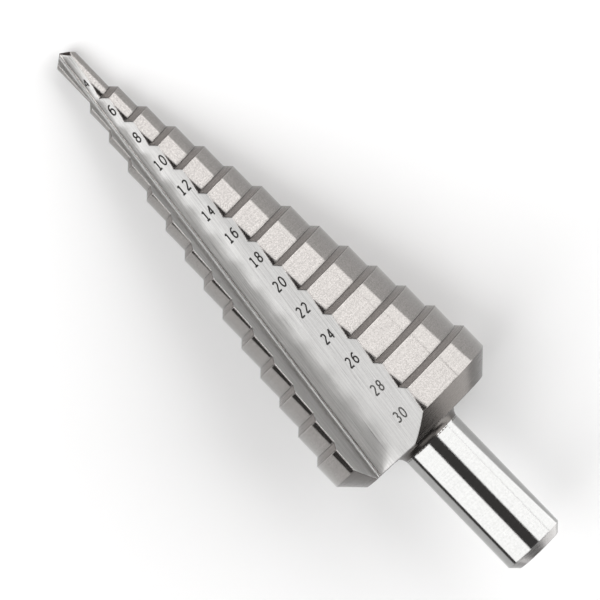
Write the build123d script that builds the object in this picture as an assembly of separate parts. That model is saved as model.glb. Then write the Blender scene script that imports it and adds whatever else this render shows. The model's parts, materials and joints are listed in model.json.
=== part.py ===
from build123d import *
import os
from math import cos, radians, sin, tan

# One-piece step drill: a stepped cone with two straight V flutes, a notched point and a plain shank.
#
# It is drawn in a tool frame and then laid down. In the tool frame the apex of the point is the origin,
# +Z runs along the axis to the shank, and every corner of the first cutting edge lies in the +X half plane.
# The flute in front of that edge opens towards -Y, and the land behind it goes round towards +Y.
# The second flute and land are the first pair turned half a turn about the axis.

# Steps, in millimetres. The diameters are the ones that the tool cuts.
TIP_DIAMETER = 4.0
DIAMETER_STEP = 2.0
STEP_COUNT = 14
STEP_PITCH = 5.0
TIP_LAND = 7.0
STEP_CHAMFER_ANGLE = 45.0
REAR_CHAMFER = 3.3

# Point: angle between the two lips and how steeply the facet behind each lip falls away. A notch thins the
# web there: its steep wall cuts off the heel, and its other wall carries the lip on to the chisel edge.
POINT_ANGLE = 118.0
LIP_CLEARANCE = 27.0
NOTCH_SLOPE = 65.0
NOTCH_TURN = 154.0
WEB_AT_NOTCH = 0.06

# Shank
SHANK_DIAMETER = 10.0
SHANK_LENGTH = 24.0
SHANK_CHAMFER = 1.2
NECK_FILLET = 1.6

# Flutes: a V whose short wall is the rake face and whose long wall is the heel of the land before it.
FLUTE_COUNT = 2
RAKE_ANGLE = 20.0
FLUTE_ANGLE = 78.0
FLUTE_ROOT_RADIUS = 0.4
WEB_AT_POINT = 0.5
WEB_TAPER = 7.7

# Relief: each land is turned about a centre set off the axis, ahead of its cutting edge by the lead angle,
# so that the stepped outline sinks inwards, and backwards by as much, from the cutting edge to the heel.
RELIEF_OFFSET = 0.34
RELIEF_LEAD = 20.0

# Lengths that only have to reach past the tool
OVERRUN = 5.0


def step_radius(step):
    """Cutting radius of a step, counted from 0 at the tip."""
    return (TIP_DIAMETER + step * DIAMETER_STEP) / 2


LARGEST_STEP = STEP_COUNT - 1
LARGEST_RADIUS = step_radius(LARGEST_STEP)
CHAMFER_SLOPE = tan(radians(STEP_CHAMFER_ANGLE))
STEP_CHAMFER = DIAMETER_STEP / 2 / CHAMFER_SLOPE
STEP_LAND = STEP_PITCH - STEP_CHAMFER
POINT_HEIGHT = step_radius(0) / tan(radians(POINT_ANGLE / 2))
REAR_FACE = POINT_HEIGHT + TIP_LAND + LARGEST_STEP * STEP_PITCH + REAR_CHAMFER
SHANK_END = REAR_FACE + SHANK_LENGTH


def step_front(step):
    """Height of a step's cutting corner, where its chamfer meets its land."""
    if step == 0:
        return POINT_HEIGHT
    return POINT_HEIGHT + TIP_LAND + STEP_CHAMFER + (step - 1) * STEP_PITCH


def relief_centre(share):
    """Centre that a relieved surface is turned about, for a share of the relief offset."""
    offset = share * RELIEF_OFFSET
    return Vector(offset * cos(radians(RELIEF_LEAD)), -offset * sin(radians(RELIEF_LEAD)))


def land_column(step):
    """Round column of one land's radius, from the apex to the rear face."""
    centre = relief_centre(1)
    radius = (Vector(step_radius(step), 0) - centre).length
    column = Cylinder(radius, REAR_FACE, align=(Align.CENTER, Align.CENTER, Align.MIN))
    return Pos(centre.X, centre.Y, 0) * column


def chamfer_cone(step):
    """Cone that carries one step's chamfer; it moves inwards and backwards, so it takes both shares."""
    centre = relief_centre(1 + CHAMFER_SLOPE)
    corner_radius = (Vector(step_radius(step), 0) - centre).length
    apex = step_front(step) - corner_radius / CHAMFER_SLOPE
    height = REAR_FACE - apex
    cone = Cone(0, height * CHAMFER_SLOPE, height, align=(Align.CENTER, Align.CENTER, Align.MIN))
    return Pos(centre.X, centre.Y, apex) * cone


def stepped_outline():
    """All the steps of one land, turned all the way round, with the chamfer at the rear face."""
    outline = land_column(0)
    for step in range(1, STEP_COUNT):
        outline += land_column(step) & chamfer_cone(step)
    rear_corner = LARGEST_RADIUS + OVERRUN
    envelope = Polyline(
        (0, 0),
        (rear_corner, 0),
        (rear_corner, REAR_FACE - REAR_CHAMFER - OVERRUN),
        (LARGEST_RADIUS - REAR_CHAMFER, REAR_FACE),
        (0, REAR_FACE),
        close=True,
    )
    return outline & revolve(make_face(Plane.XZ * envelope), Axis.Z)


def stepped_body():
    """Both lands: each keeps the half of its outline that ends inside the flutes."""
    parting = Plane(
        origin=(0, 0, 0),
        x_dir=(0, 0, 1),
        z_dir=Vector(0, 1, 0).rotate(Axis.Z, -RAKE_ANGLE),
    )
    land = split(stepped_outline(), bisect_by=parting, keep=Keep.TOP)
    return land + Rot(0, 0, 180) * land


def flute_root(height):
    """Where the two walls of the first flute meet, at a height along the axis.

    The rake wall passes through the straight line that joins the cutting corners, leaning by the rake
    angle. The heel wall is half the web away from the axis at the point's corner and leans away from it.
    """
    cutting_radius = step_radius(1) + (height - step_front(1)) * DIAMETER_STEP / 2 / STEP_PITCH
    rake_normal = Vector(0, 1).rotate(Axis.Z, -RAKE_ANGLE)
    heel_normal = Vector(0, 1).rotate(Axis.Z, -RAKE_ANGLE - FLUTE_ANGLE)
    rake_distance = rake_normal.X * cutting_radius
    heel_distance = WEB_AT_POINT / 2 + (height - POINT_HEIGHT) * tan(radians(WEB_TAPER))
    cross = rake_normal.X * heel_normal.Y - rake_normal.Y * heel_normal.X
    return Vector(
        (rake_distance * heel_normal.Y - heel_distance * rake_normal.Y) / cross,
        (heel_distance * rake_normal.X - rake_distance * heel_normal.X) / cross,
        height,
    )


def flute_cutter():
    """Straight V prism with a rounded root, run from ahead of the point to behind the rear face."""
    start = flute_root(-OVERRUN)
    end = flute_root(REAR_FACE + OVERRUN)
    wall = 2 * LARGEST_RADIUS + (end - start).length
    rake_wall = Vector(wall, 0).rotate(Axis.Z, -RAKE_ANGLE)
    heel_wall = Vector(wall, 0).rotate(Axis.Z, -RAKE_ANGLE - FLUTE_ANGLE)
    section = make_face(Polyline((0, 0), rake_wall, heel_wall, close=True))
    root = section.vertices().sort_by_distance((0, 0, 0))[0]
    section = Pos(start) * fillet(root, FLUTE_ROOT_RADIUS)
    return extrude(section, amount=(end - start).length, dir=end - start)


def lip_facet():
    """Plane behind one lip, through the apex."""
    lip = Vector(1, 0, 1 / tan(radians(POINT_ANGLE / 2)))
    behind_lip = Vector(0, 1, tan(radians(LIP_CLEARANCE)))
    return Plane(origin=(0, 0, 0), x_dir=lip, z_dir=lip.cross(behind_lip))


def point_notch():
    """Wedge that thins the web in the second flute, between the heel of one land and the lip of the other."""
    towards_flute = Vector(1, 0).rotate(Axis.Z, NOTCH_TURN)
    down_heel = towards_flute + Vector(0, 0, tan(radians(NOTCH_SLOPE)))
    along_heel = Vector(0, 0, 1).cross(towards_flute)
    heel = Plane(origin=towards_flute * WEB_AT_NOTCH / 2, x_dir=along_heel, z_dir=along_heel.cross(down_heel))
    rake = Plane(origin=(0, 0, 0), x_dir=(0, 0, 1), z_dir=Vector(0, 1).rotate(Axis.Z, -RAKE_ANGLE))
    block = Box(*[2 * STEP_PITCH] * 3)
    return split(split(block, bisect_by=heel, keep=Keep.TOP), bisect_by=rake, keep=Keep.TOP)


def shank():
    """Plain round shank with a chamfered end and a fillet into the rear face."""
    radius = SHANK_DIAMETER / 2
    neck = JernArc(
        start=(radius + NECK_FILLET, REAR_FACE),
        tangent=(-1, 0),
        radius=NECK_FILLET,
        arc_size=-90,
    )
    outline = neck + Polyline(
        neck @ 1,
        (radius, SHANK_END - SHANK_CHAMFER),
        (radius - SHANK_CHAMFER, SHANK_END),
        (0, SHANK_END),
        (0, REAR_FACE - OVERRUN),
        (radius + NECK_FILLET, REAR_FACE - OVERRUN),
        neck @ 0,
    )
    return revolve(make_face(Plane.XZ * outline), Axis.Z)


def drill_in_tool_frame():
    """The whole tool, standing on its point: the fluted and pointed body, then the shank."""
    body = stepped_body()
    cutter = flute_cutter()
    notch = point_notch()
    for flute in range(FLUTE_COUNT):
        turn = Rot(0, 0, 360 / FLUTE_COUNT * flute)
        body -= turn * cutter
        body = split(body, bisect_by=Plane(turn * lip_facet().location), keep=Keep.TOP)
        body -= turn * notch
    return body + shank()


def resting_plane(drill):
    """Plane that the drill lies on, with the first flute down and +X along it towards the shank.

    It touches the largest step at its cutting corner and, across the flute, at its heel corner. The third
    contact is the corner nearer the point that stands out furthest from the line between those two.
    """
    corners = [Vector(vertex) for vertex in drill.vertices()]
    beside_flute = [corner for corner in corners if corner.X > 0 and corner.Y < -WEB_AT_POINT]
    cutting_corner = Vector(LARGEST_RADIUS, 0, step_front(LARGEST_STEP))
    heel_corner = max(beside_flute, key=lambda corner: corner.X**2 + corner.Y**2)
    across = (heel_corner - cutting_corner).normalized()
    to_point = Vector(0, 0, -1) + across * across.Z
    outwards = across.cross(to_point).normalized()
    ahead = [corner for corner in corners if (corner - cutting_corner).dot(to_point) > STEP_LAND]
    third_corner = max(
        ahead,
        key=lambda corner: (corner - cutting_corner).dot(outwards) / (corner - cutting_corner).dot(to_point),
    )
    down = across.cross(third_corner - cutting_corner).normalized()
    towards_shank = Vector(0, 0, 1) - down * down.Z
    return Plane(origin=cutting_corner, x_dir=towards_shank, z_dir=-down)


def lying_drill():
    """The drill at rest, with the origin at the bottom centre of its bounding box."""
    drill = drill_in_tool_frame()
    lying = resting_plane(drill).location.inverse() * drill
    box = lying.bounding_box()
    return Pos(-box.center().X, -box.center().Y, -box.min.Z) * lying


def main():
    """Writes the drill's STEP file."""
    drill = lying_drill()
    drill.label = "step_drill"
    os.makedirs("parts", exist_ok=True)
    export_step(drill, "parts/step_drill.step")


main()
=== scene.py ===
"""Looks of the step drill: its ground and polished steel, its step numbers, the floor, the light and the camera.

Everything is in metres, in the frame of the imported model. Places on the tool are given along its axis from the
apex of the point, across the camera's view of it, and towards the camera.
"""

import json
from math import cos, pi, radians, sin, tan

import bpy
from mathutils import Matrix, Vector


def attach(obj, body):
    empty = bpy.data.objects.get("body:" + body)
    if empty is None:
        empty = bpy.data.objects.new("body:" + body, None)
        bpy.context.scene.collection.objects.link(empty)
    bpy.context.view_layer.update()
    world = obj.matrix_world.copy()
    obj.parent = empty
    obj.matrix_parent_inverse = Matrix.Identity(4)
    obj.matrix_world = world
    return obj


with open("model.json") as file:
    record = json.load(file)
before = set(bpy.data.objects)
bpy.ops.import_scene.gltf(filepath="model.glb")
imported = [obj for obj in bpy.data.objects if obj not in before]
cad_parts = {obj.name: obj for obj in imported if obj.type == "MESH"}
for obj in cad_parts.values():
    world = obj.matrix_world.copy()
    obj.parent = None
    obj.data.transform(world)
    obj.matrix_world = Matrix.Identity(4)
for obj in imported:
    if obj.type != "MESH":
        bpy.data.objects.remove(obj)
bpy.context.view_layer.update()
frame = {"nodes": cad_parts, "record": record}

MM = 0.001

# The tool in the frame: the apex of the point, the axis towards the shank, and the side that the camera sees
SHANK_MIDDLE = 88.702 * MM
CAMERA_TURN = radians(15.65)
shank_mount = next(mount for mount in frame["record"]["mounts"] if mount["kind"] == "pin")
AXIS = Vector(shank_mount["axis"]).normalized()
APEX = Vector(shank_mount["pos_m"]) - AXIS * SHANK_MIDDLE
SIDEWAYS = Vector((0, 1, 0))
FACING = AXIS.cross(SIDEWAYS) * cos(CAMERA_TURN) + SIDEWAYS * sin(CAMERA_TURN)
ACROSS = FACING.cross(AXIS)

# Places along the tool where its finish changes
POINT_END = 1.3 * MM
REAR_FACE = 76.502 * MM

# How squarely a face looks along a direction, as the dot product of its normal, to tell the faces apart
ON_WALL = 0.9999
NEAR_WALL = 0.9995
ALONG_FLUTE = 0.3
TOWARDS_SHANK = 0.1
TOWARDS_POINT = 0.3
OUTWARDS = 0.6

# What all the steels share
NOISE_SPREAD = (0.25, 0.75)
ROUGHNESS_NOISE_SPREAD = (0.3, 0.7)
ROUGHNESS_SPREAD = (0.8, 1.25)
EDGE_RADIUS = 0.3 * MM
BUMP_HEIGHT = 0.01 * MM
MARKS_IN_BUMP = 0.6
# Painted shade: the steels get darker in tight inner corners, which ambient occlusion finds
CORNER_REACH = 0.5 * MM
CORNER_OPENNESS = (0.8, 0.97)
CORNER_PAINTED_SHADE = 0.45
# Painted light: the flute walls get lighter towards the root of their V, to make up for the light lost there
ROOT_REACH = 6 * MM
ROOT_PAINTED_LIGHT = 1.55

# Grinding marks: the walls have them along the flute, the turned faces around the axis
FLUTE_MARK_LENGTH = 7 * MM
FLUTE_MARK_WIDTH = 0.08 * MM
TURNED_MARK_LENGTH = 12 * MM
TURNED_MARK_WIDTH = 0.12 * MM

# Burnt-in numbers
LASER_SPECKLE = 0.08 * MM
LASER_NOISE_SPREAD = (0.3, 0.7)
LASER_TONES = (0.6, 1.6)
LASER_ROUGHNESS = 0.7
LASER_SHINE = 0.2

# Step numbers on the wall of the upper flute. NUMBERS has, for each, the diameter, then how far behind its step's
# front and how far across the tool its middle is, in mm
FIRST_DIAMETER = 4
FIRST_FRONT = 1.2 * MM
SECOND_FRONT = 9.2 * MM
DIAMETER_STEP = 2
STEP_PITCH = 5.0 * MM
NUMBERS = [
    (4, 4.7, -0.25),
    (6, 2.18, -0.28),
    (8, 2.56, -0.38),
    (10, 2.58, -0.49),
    (12, 2.57, -0.52),
    (14, 2.72, -0.59),
    (16, 2.37, -0.39),
    (18, 2.35, -0.25),
    (20, 2.27, -0.28),
    (22, 2.27, -0.45),
    (24, 2.48, -0.52),
    (26, 2.34, -0.37),
    (28, 2.66, -0.51),
    (30, 2.68, -0.84),
]
DIGIT_HEIGHT = 1.56 * MM
DIGIT_WIDTH = 0.78 * MM
DIGIT_PITCH = 1.34 * MM
STROKE = 0.27 * MM
FIRST_STROKE = 0.24 * MM
STROKE_FLATTENING = 0.08
FIRST_NUMBER_SCALE = 0.8
FAINT_NUMBERS = (28, 30)
ARC_STEP = 15

# Floor and room
FLOOR_HALF = 20.0
FLOOR_COLOUR = (0.93, 0.93, 0.93)
ROOM_COLOUR = (0.1, 0.096, 0.094)
MATT = 0.9

# Lamps. A radiance of 1 is that of a white surface in full light
SOFTBOX_DISTANCE = 2.0
SOFTBOX_RADIANCE = 2.6
END_LIGHT_DISTANCE = 2.5
END_LIGHT_ELEVATION = radians(45)
END_LIGHT_SIZE = (2.2, 1.4)
END_LIGHT_RADIANCE = 1.0
LOW_LIGHT_DEPTH = 1.9
LOW_LIGHT_LIFT = 0.5 * MM
LOW_LIGHT_RADIANCE = 1.6
LOW_LIGHT_EDGE = 1.12
LOW_LIGHT_REACH = 1.1

# Camera
CAMERA_DISTANCE = 659 * MM
CAMERA_ROLL = radians(46)
VIEW_ALONG = 50.15 * MM
VIEW_ACROSS = 0.26 * MM
LENS = 271.6
SENSOR_WIDTH = 36.0
CLIP_START = 0.01
CLIP_END = 100.0
CAMERA_RIGHT = AXIS * cos(CAMERA_ROLL) + ACROSS * sin(CAMERA_ROLL)
CAMERA_UP = ACROSS * cos(CAMERA_ROLL) - AXIS * sin(CAMERA_ROLL)


def on_tool(along, across=0.0, facing=0.0):
    """Point given along the axis, across the camera's view and towards the camera."""
    return APEX + AXIS * along + ACROSS * across + FACING * facing


def place(obj, right, up, location):
    """Turns an object so that its local X, Y and Z are right, up and their cross product."""
    obj.matrix_world = Matrix.Translation(location) @ Matrix((right, up, right.cross(up))).transposed().to_4x4()


def add(name, data):
    obj = bpy.data.objects.new(name, data)
    bpy.context.scene.collection.objects.link(obj)
    return obj


# Shader nodes


class Graph:
    """Short ways to add the nodes of one material and join them up."""

    def __init__(self, name):
        self.material = bpy.data.materials.new(name)
        self.material.use_nodes = True
        self.tree = self.material.node_tree
        self.shader = self.tree.nodes["Principled BSDF"]

    def node(self, kind, **settings):
        made = self.tree.nodes.new(kind)
        for key, value in settings.items():
            setattr(made, key, value)
        return made

    def feed(self, socket, value):
        if isinstance(value, bpy.types.NodeSocket):
            self.tree.links.new(value, socket)
        else:
            socket.default_value = value

    def math(self, operation, *values):
        made = self.node("ShaderNodeMath", operation=operation)
        for socket, value in zip(made.inputs, values):
            self.feed(socket, value)
        return made.outputs[0]

    def dot(self, first, second):
        made = self.node("ShaderNodeVectorMath", operation="DOT_PRODUCT")
        self.feed(made.inputs[0], first)
        self.feed(made.inputs[1], second)
        return made.outputs["Value"]

    def remap(self, value, low, high, to_low, to_high):
        made = self.node("ShaderNodeMapRange")
        for socket, setting in zip(made.inputs, (value, low, high, to_low, to_high)):
            self.feed(socket, setting)
        return made.outputs[0]

    def place_on_part(self):
        return self.node("ShaderNodeTexCoord").outputs["Object"]

    def grain(self, directions, lengths, detail=3.0, roughness=0.6):
        """Noise between 0 and 1 whose grain has a length of its own along each direction."""
        place_on_part = self.place_on_part()
        joined = self.node("ShaderNodeCombineXYZ")
        for socket, direction, length in zip(joined.inputs, directions, lengths):
            self.feed(socket, self.dot(place_on_part, direction / length))
        noise = self.node("ShaderNodeTexNoise")
        self.feed(noise.inputs["Vector"], joined.outputs[0])
        self.feed(noise.inputs["Scale"], 1.0)
        self.feed(noise.inputs["Detail"], detail)
        self.feed(noise.inputs["Roughness"], roughness)
        return noise.outputs["Fac"]

    def rounded_normal(self, radius, samples=4):
        """The normal, rounded over sharp edges."""
        bevel = self.node("ShaderNodeBevel", samples=samples)
        self.feed(bevel.inputs["Radius"], radius)
        return bevel.outputs[0]

    def open_air(self, distance, samples=6):
        """How open a place is, from 0 in a tight corner to 1 on a clear surface."""
        occlusion = self.node("ShaderNodeAmbientOcclusion", samples=samples, only_local=True)
        self.feed(occlusion.inputs["Distance"], distance)
        return occlusion.outputs["AO"]

    def shaded(self, colour, factor):
        """A colour times a grey factor."""
        mix = self.node("ShaderNodeMix", data_type="RGBA", blend_type="MULTIPLY")
        self.feed(mix.inputs[0], 1.0)
        self.feed(mix.inputs[6], (*colour, 1))
        grey = self.node("ShaderNodeCombineColor")
        for socket in grey.inputs[:3]:
            self.feed(socket, factor)
        self.feed(mix.inputs[7], grey.outputs[0])
        return mix.outputs[2]


def steel(name, colour, roughness, lines, line_depth, speckle, speckle_depth, front=None, short_wall=None, bump=0.4):
    """Bare steel with grinding marks, a fine speckle, rounded edges and painted shade that darkens its inner
    corners.

    lines is (directions, lengths) of the grinding marks and speckle is the size of the speckle. The two depths
    say how much each changes the tone. front paints a highlight or a dark line along the edges: it changes the tone
    where the rounded normal turns towards the point, with two amounts of that turn and the tone at each. short_wall
    is the plane that a flute wall gets lighter towards, as painted light that makes up for the light lost in the V.
    """
    graph = Graph(name)
    marks = graph.grain(*lines)
    dots = graph.grain((AXIS, ACROSS, FACING), (speckle,) * 3, detail=2.0)
    normal = graph.rounded_normal(EDGE_RADIUS)
    tone = graph.math(
        "MULTIPLY",
        graph.remap(marks, *NOISE_SPREAD, 1 - line_depth, 1 + line_depth),
        graph.remap(dots, *NOISE_SPREAD, 1 - speckle_depth, 1 + speckle_depth),
    )
    # Painted shade: darker in tight inner corners
    painted_corner_shade = graph.remap(graph.open_air(CORNER_REACH), *CORNER_OPENNESS, CORNER_PAINTED_SHADE, 1.0)
    tone = graph.math("MULTIPLY", tone, painted_corner_shade)
    # Painted light: the wall gets lighter towards its root, where the V keeps the lamps' light from it
    if short_wall:
        wall_normal, wall_distance = short_wall
        from_wall = graph.math("SUBTRACT", graph.dot(graph.place_on_part(), wall_normal), wall_distance)
        tone = graph.math("MULTIPLY", tone, graph.remap(from_wall, 0, ROOT_REACH, ROOT_PAINTED_LIGHT, 1.0))
    # Painted highlight or painted dark line along the edges, where the rounded normal turns towards the point
    if front:
        tone = graph.math("MULTIPLY", tone, graph.remap(graph.dot(normal, -AXIS), *front))
    graph.feed(graph.shader.inputs["Base Color"], graph.shaded(colour, tone))
    graph.feed(graph.shader.inputs["Metallic"], 1.0)
    rough_range = [roughness * factor for factor in ROUGHNESS_SPREAD]
    graph.feed(graph.shader.inputs["Roughness"], graph.remap(marks, *ROUGHNESS_NOISE_SPREAD, *rough_range))
    height = graph.math(
        "ADD", graph.math("MULTIPLY", marks, MARKS_IN_BUMP), graph.math("MULTIPLY", dots, 1 - MARKS_IN_BUMP)
    )
    bumped = graph.node("ShaderNodeBump")
    graph.feed(bumped.inputs["Strength"], bump)
    graph.feed(bumped.inputs["Distance"], BUMP_HEIGHT)
    graph.feed(bumped.inputs["Height"], height)
    graph.feed(bumped.inputs["Normal"], normal)
    graph.feed(graph.shader.inputs["Normal"], bumped.outputs[0])
    return graph.material


def laser_mark(name, colour):
    """Matt dark surface of a burnt-in number."""
    graph = Graph(name)
    dots = graph.grain((AXIS, ACROSS, FACING), (LASER_SPECKLE,) * 3)
    tone = graph.remap(dots, *LASER_NOISE_SPREAD, *LASER_TONES)
    graph.feed(graph.shader.inputs["Base Color"], graph.shaded(colour, tone))
    graph.feed(graph.shader.inputs["Roughness"], LASER_ROUGHNESS)
    graph.feed(graph.shader.inputs["Specular IOR Level"], LASER_SHINE)
    return graph.material


# The drill


def flat_walls(mesh):
    """Normals of the four flat flute walls: both long ones, then both short ones, upper wall first in each pair."""
    areas = {}
    for polygon in mesh.polygons:
        key = tuple(round(part, 2) for part in polygon.normal)
        if abs(polygon.normal.dot(AXIS)) < ALONG_FLUTE:
            total, area = areas.get(key, (Vector(), 0.0))
            areas[key] = (total + polygon.normal * polygon.area, area + polygon.area)
    largest = sorted(areas.values(), key=lambda entry: -entry[1])[:4]
    normals = [total.normalized() for total, area in largest]
    long_walls = sorted(normals[:2], key=lambda normal: -normal.z)
    short_walls = sorted(normals[2:], key=lambda normal: -normal.z)
    return long_walls + short_walls


drill = frame["nodes"]["step_drill"]
UPPER_LONG, LOWER_LONG, UPPER_SHORT, LOWER_SHORT = flat_walls(drill.data)
UPPER_FLUTE = UPPER_LONG.cross(UPPER_SHORT).normalized()
LOWER_FLUTE = LOWER_LONG.cross(LOWER_SHORT).normalized()
TURNED = ((AXIS, ACROSS, FACING), (TURNED_MARK_WIDTH, TURNED_MARK_LENGTH, TURNED_MARK_LENGTH))


def point_on_wall(normal):
    """Some point of the flat wall that has this normal."""
    return next(polygon.center for polygon in drill.data.polygons if polygon.normal.dot(normal) > ON_WALL)


def flute_wall(name, flute, long_wall, short_wall):
    """Ground steel of one flute, with its marks along the flute."""
    lengths = (FLUTE_MARK_LENGTH, FLUTE_MARK_WIDTH, FLUTE_MARK_WIDTH)
    lines = ((flute, long_wall.cross(flute), long_wall), lengths)
    plane = (short_wall, point_on_wall(short_wall).dot(short_wall))
    return steel(name, (0.31, 0.307, 0.303), 0.34, lines, 0.42, 0.3 * MM, 0.05, short_wall=plane)


# For each finish: base colour, roughness, marks and how much they change the tone, speckle and the same
FINISHES = {
    "upper_wall": flute_wall("upper_wall", UPPER_FLUTE, UPPER_LONG, UPPER_SHORT),
    "lower_wall": flute_wall("lower_wall", LOWER_FLUTE, LOWER_LONG, LOWER_SHORT),
    # The land's front values paint a highlight along its edges towards the point
    "land": steel("land", (0.275, 0.262, 0.252), 0.07, TURNED, 0.1, 0.2 * MM, 0.27, front=(0.02, 0.12, 1.0, 1.5)),
    # The chamfer's front values paint a dark line along its edges
    "chamfer": steel(
        "chamfer", (0.215, 0.197, 0.186), 0.25, TURNED, 0.12, 0.2 * MM, 0.25, front=(0.65, 0.703, 0.1, 1.0)
    ),
    "point": steel("point", (0.12, 0.1, 0.096), 0.3, TURNED, 0.12, 0.2 * MM, 0.25),
    "shank": steel("shank", (0.345, 0.345, 0.341), 0.09, TURNED, 0.05, 0.4 * MM, 0.05, bump=0.25),
    "end": steel("end", (0.23, 0.224, 0.22), 0.25, TURNED, 0.06, 0.25 * MM, 0.1),
    "rear": steel("rear", (0.105, 0.097, 0.091), 0.25, TURNED, 0.06, 0.25 * MM, 0.1),
}
ZONES = list(FINISHES)


def zone(polygon):
    """Which finish a face has, from where it is and which way it faces."""
    normal = polygon.normal
    from_apex = polygon.center - APEX
    along = from_apex.dot(AXIS)
    radius = (from_apex - AXIS * along).length
    if max(normal.dot(UPPER_LONG), normal.dot(UPPER_SHORT)) > NEAR_WALL:
        return "upper_wall"
    if max(normal.dot(LOWER_LONG), normal.dot(LOWER_SHORT)) > NEAR_WALL:
        return "lower_wall"
    if normal.dot(AXIS) > TOWARDS_SHANK:
        return "rear" if along < SHANK_MIDDLE else "end"
    if along > REAR_FACE:
        return "shank"
    if -normal.dot(AXIS) > TOWARDS_POINT:
        return "point" if along < POINT_END else "chamfer"
    if normal.dot(from_apex - AXIS * along) >= radius * OUTWARDS:
        return "land"
    return "upper_wall" if normal.z > 0 else "lower_wall"


drill.data.materials.clear()
for name in ZONES:
    drill.data.materials.append(FINISHES[name])
for polygon in drill.data.polygons:
    polygon.material_index = ZONES.index(zone(polygon))


# Step numbers


def arc(x, y, across, high, start, end):
    """Points on an ellipse between two angles in degrees, about ARC_STEP apart."""
    steps = round(abs(end - start) / ARC_STEP)
    angles = [radians(start + (end - start) * step / steps) for step in range(steps + 1)]
    return [(x + across * cos(angle), y + high * sin(angle)) for angle in angles]


# Strokes of each digit in a box one wide and one high
DIGITS = {
    "0": [arc(0.5, 0.5, 0.5, 0.5, 0, 360)],
    "1": [[(0.14, 0.84), (0.52, 1.0)], [(0.52, 1.0), (0.52, 0.0)], [(0.1, 0.0), (0.94, 0.0)]],
    "2": [arc(0.46, 0.73, 0.46, 0.27, 150, -25) + [(0.03, 0.0)], [(0.03, 0.0), (1.0, 0.0)]],
    "3": [arc(0.45, 0.755, 0.42, 0.245, 145, -90), arc(0.45, 0.255, 0.5, 0.255, 90, -145)],
    "4": [[(0.74, 0.0), (0.74, 1.0)], [(0.74, 1.0), (0.0, 0.3)], [(0.0, 0.3), (1.0, 0.3)]],
    "6": [arc(0.52, 0.31, 0.46, 0.31, 0, 360), arc(0.62, 0.5, 0.57, 0.5, 65, 195)],
    "8": [arc(0.5, 0.755, 0.4, 0.245, 0, 360), arc(0.5, 0.26, 0.47, 0.26, 0, 360)],
}


def wall_point(along, across):
    """Point of the upper flute's long wall that the camera sees at a place along and across the tool."""
    start = on_tool(along, across)
    return start + FACING * ((point_on_wall(UPPER_LONG) - start).dot(UPPER_LONG) / FACING.dot(UPPER_LONG))


def number_curve(diameter, material):
    """Strokes of one number as round bars about its middle, in its own X and Y."""
    digits = str(diameter)
    curve = bpy.data.curves.new(f"number_{diameter}", "CURVE")
    curve.dimensions = "3D"
    curve.bevel_depth = (STROKE if diameter > FIRST_DIAMETER else FIRST_STROKE) / 2
    curve.use_fill_caps = True
    for place_in_number, digit in enumerate(digits):
        left = (place_in_number - (len(digits) - 1) / 2) * DIGIT_PITCH - DIGIT_WIDTH / 2
        for stroke in DIGITS[digit]:
            spline = curve.splines.new("POLY")
            spline.points.add(len(stroke) - 1)
            for point, (x, y) in zip(spline.points, stroke):
                point.co = (left + x * DIGIT_WIDTH, (y - 0.5) * DIGIT_HEIGHT, 0, 1)
    curve.materials.append(material)
    return curve


def add_numbers():
    black = laser_mark("laser_black", (0.022, 0.021, 0.02))
    grey = laser_mark("laser_grey", (0.09, 0.088, 0.085))
    reading = (ACROSS - FACING * ACROSS.dot(UPPER_LONG) / FACING.dot(UPPER_LONG)).normalized()
    turn = Matrix((reading, UPPER_LONG.cross(reading), UPPER_LONG)).transposed().to_4x4()
    for diameter, behind, across in NUMBERS:
        step = (diameter - FIRST_DIAMETER) / DIAMETER_STEP
        front = SECOND_FRONT + (step - 1) * STEP_PITCH if step else FIRST_FRONT
        scale = 1 if step else FIRST_NUMBER_SCALE
        number = add(f"number_{diameter}", number_curve(diameter, grey if diameter in FAINT_NUMBERS else black))
        shape = Matrix.Diagonal((scale, scale, STROKE_FLATTENING, 1))
        number.matrix_world = Matrix.Translation(wall_point(front + behind * MM, across * MM)) @ turn @ shape
        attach(number, "root")


add_numbers()


# Floor, light and camera


def add_floor():
    mesh = bpy.data.meshes.new("floor")
    corners = [(right * FLOOR_HALF, up * FLOOR_HALF, 0) for right, up in ((-1, -1), (1, -1), (1, 1), (-1, 1))]
    mesh.from_pydata(corners, [], [(0, 1, 2, 3)])
    floor = add("floor", mesh)
    graph = Graph("floor")
    graph.feed(graph.shader.inputs["Base Color"], (*FLOOR_COLOUR, 1))
    graph.feed(graph.shader.inputs["Roughness"], MATT)
    mesh.materials.append(graph.material)


def add_world():
    world = bpy.data.worlds.new("studio")
    world.use_nodes = True
    world.node_tree.nodes["Background"].inputs["Color"].default_value = (*ROOM_COLOUR, 1)
    bpy.context.scene.world = world


def add_lamp(name, right, up, location, size, radiance):
    """Rectangular lamp whose face has the same radiance all over."""
    lamp_data = bpy.data.lights.new(name, "AREA")
    lamp_data.shape = "RECTANGLE"
    lamp_data.size, lamp_data.size_y = size
    lamp_data.energy = pi * radiance * size[0] * size[1]
    lamp = add(name, lamp_data)
    place(lamp, right, up, location)
    lamp.visible_camera = False


def add_softbox(name, start, end, to_point, to_shank):
    """Soft lamp alongside the tool.

    It reaches from one angle to the other about the tool's axis, counted from the camera's direction, and along
    the axis by one angle towards the point and one towards the shank.
    """
    middle = (start + end) / 2
    outwards = FACING * cos(middle) + ACROSS * sin(middle)
    shift = AXIS * SOFTBOX_DISTANCE * (tan(to_shank) - tan(to_point)) / 2
    location = on_tool(VIEW_ALONG) + outwards * SOFTBOX_DISTANCE + shift
    size = (
        SOFTBOX_DISTANCE * (tan(to_shank) + tan(to_point)),
        2 * SOFTBOX_DISTANCE * tan(abs(end - start) / 2),
    )
    add_lamp(name, AXIS, outwards.cross(AXIS), location, size, SOFTBOX_RADIANCE)


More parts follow.
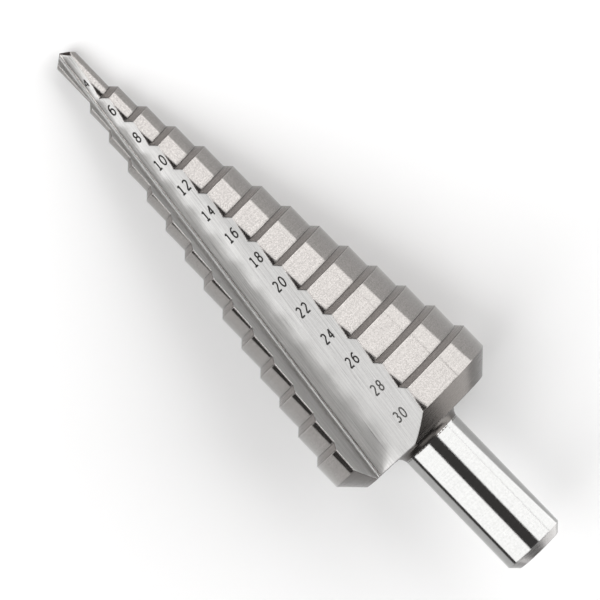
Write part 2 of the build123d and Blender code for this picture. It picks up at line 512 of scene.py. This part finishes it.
def add_end_light(name, side):
    """Soft lamp above one end of the tool, where its lands and shank don't mirror it: side is 1 or -1."""
    outwards = Vector((side * cos(END_LIGHT_ELEVATION), 0, sin(END_LIGHT_ELEVATION)))
    location = on_tool(VIEW_ALONG) + outwards * END_LIGHT_DISTANCE
    add_lamp(name, SIDEWAYS, outwards.cross(SIDEWAYS), location, END_LIGHT_SIZE, END_LIGHT_RADIANCE)


def floor_under(right, up):
    """Point of the floor that the camera sees at a place in the picture, both from -1 to 1."""
    start = on_tool(VIEW_ALONG, VIEW_ACROSS, CAMERA_DISTANCE)
    ray = CAMERA_RIGHT * right + CAMERA_UP * up - FACING * (LENS / (SENSOR_WIDTH / 2))
    return start - ray * (start.z / ray.z)


def add_low_light(name):
    """Soft lamp that lies on the floor to the right of the picture, facing up. The lands and the shank mirror it."""
    start = floor_under(LOW_LIGHT_EDGE, -LOW_LIGHT_REACH)
    end = floor_under(LOW_LIGHT_EDGE, LOW_LIGHT_REACH)
    along = (end - start).normalized()
    outwards = along.cross(Vector((0, 0, 1)))
    middle = (start + end) / 2 + outwards * (LOW_LIGHT_DEPTH / 2) + Vector((0, 0, LOW_LIGHT_LIFT))
    size = ((end - start).length + 2 * LOW_LIGHT_DEPTH, LOW_LIGHT_DEPTH)
    add_lamp(name, along, outwards, middle, size, LOW_LIGHT_RADIANCE)


def add_camera():
    camera_data = bpy.data.cameras.new("camera")
    camera_data.lens = LENS
    camera_data.sensor_width = SENSOR_WIDTH
    camera_data.clip_start = CLIP_START
    camera_data.clip_end = CLIP_END
    camera = add("camera", camera_data)
    place(camera, CAMERA_RIGHT, CAMERA_UP, on_tool(VIEW_ALONG, VIEW_ACROSS, CAMERA_DISTANCE))
    bpy.context.scene.camera = camera


add_floor()
add_world()
add_softbox("softbox_right", radians(20.5), radians(74.2), to_point=radians(44), to_shank=radians(44))
add_softbox("softbox_left", radians(-18), radians(-92), to_point=radians(25), to_shank=radians(14))
add_low_light("low_light")
add_end_light("light_ahead", -1)
add_end_light("light_behind", 1)
add_camera()
bpy.context.scene.view_settings.view_transform = "Standard"
